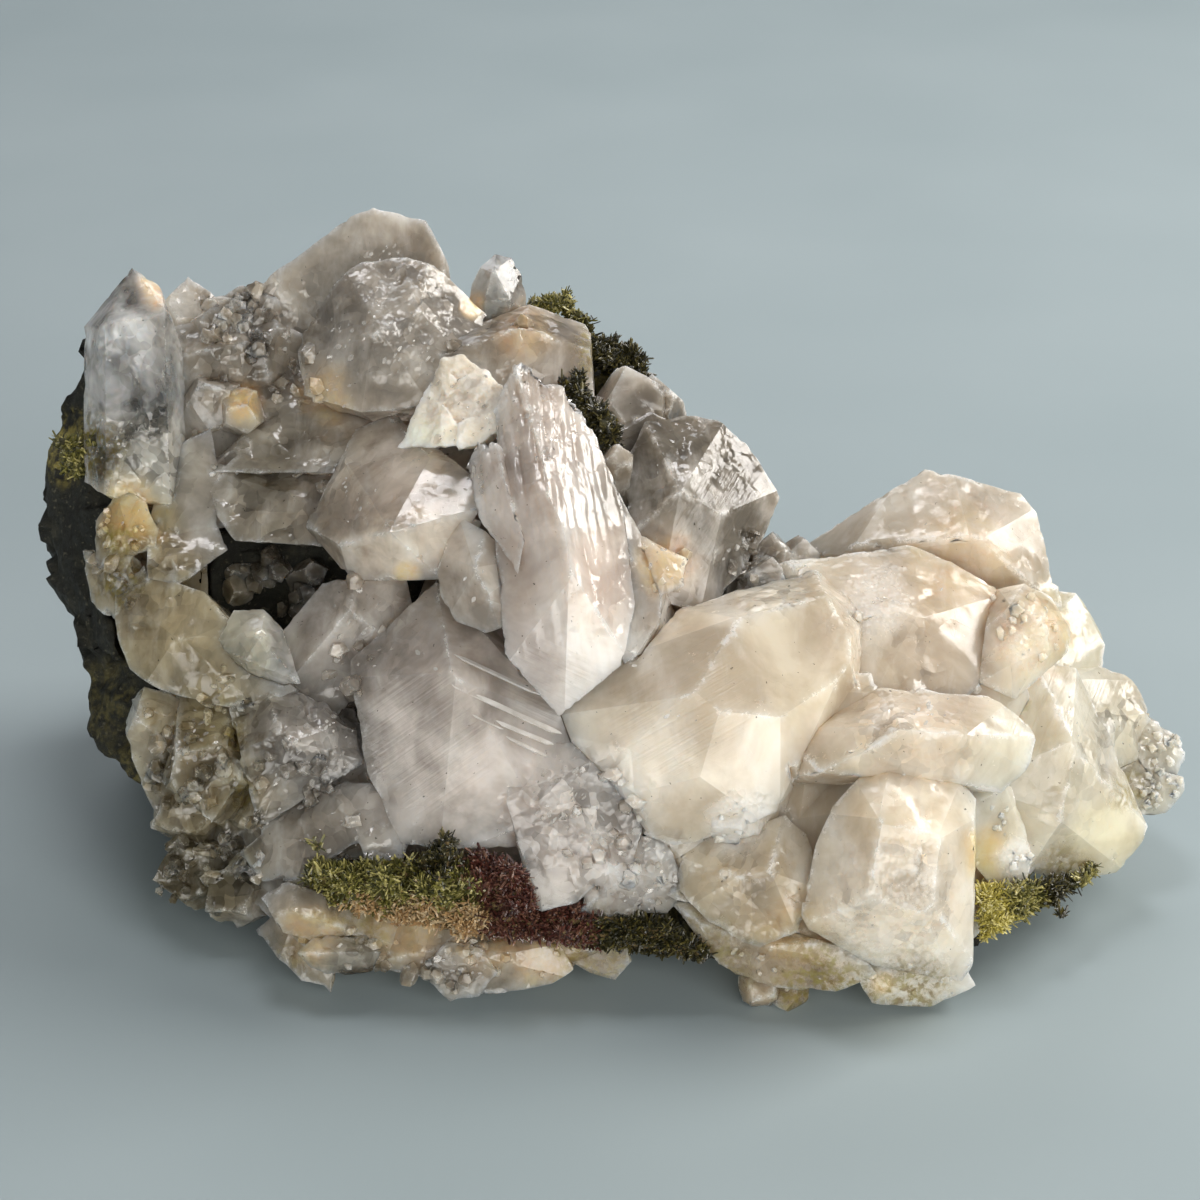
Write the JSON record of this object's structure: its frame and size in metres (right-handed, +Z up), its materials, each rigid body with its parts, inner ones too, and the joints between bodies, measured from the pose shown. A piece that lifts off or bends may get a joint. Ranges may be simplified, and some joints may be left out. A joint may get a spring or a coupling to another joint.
{
  "type": "epidote in quartz specimen",
  "caption": "Mineral specimen of clear, grey and milky quartz crystals on dark rock, with crusts of green epidote needles, which rests loose on a table.",
  "frame": {"origin": "middle of the bounding box, at table height", "axes": "+X to the specimen's right, towards the milky wing, as seen from the front; +Y from the front to the back; +Z up from the table"},
  "size_m": [0.1132, 0.0708, 0.0589],
  "materials": {
    "matrix_rock": "rough",
    "quartz_grey_cluster": "glassy",
    "quartz_milky_cluster": "glassy",
    "epidote_crust_top": "needles",
    "epidote_crust_middle": "needles",
    "epidote_crust_front": "needles",
    "epidote_crust_right": "needles",
    "epidote_crust_left": "needles"
  },
  "bodies": {
    "root": {"matrix_rock": "matrix_rock", "quartz_grey_cluster": "quartz_grey_cluster", "quartz_milky_cluster": "quartz_milky_cluster", "epidote_crust_top": "epidote_crust_top", "epidote_crust_middle": "epidote_crust_middle", "epidote_crust_front": "epidote_crust_front", "epidote_crust_right": "epidote_crust_right", "epidote_crust_left": "epidote_crust_left"}
  },
  "joints": []
}
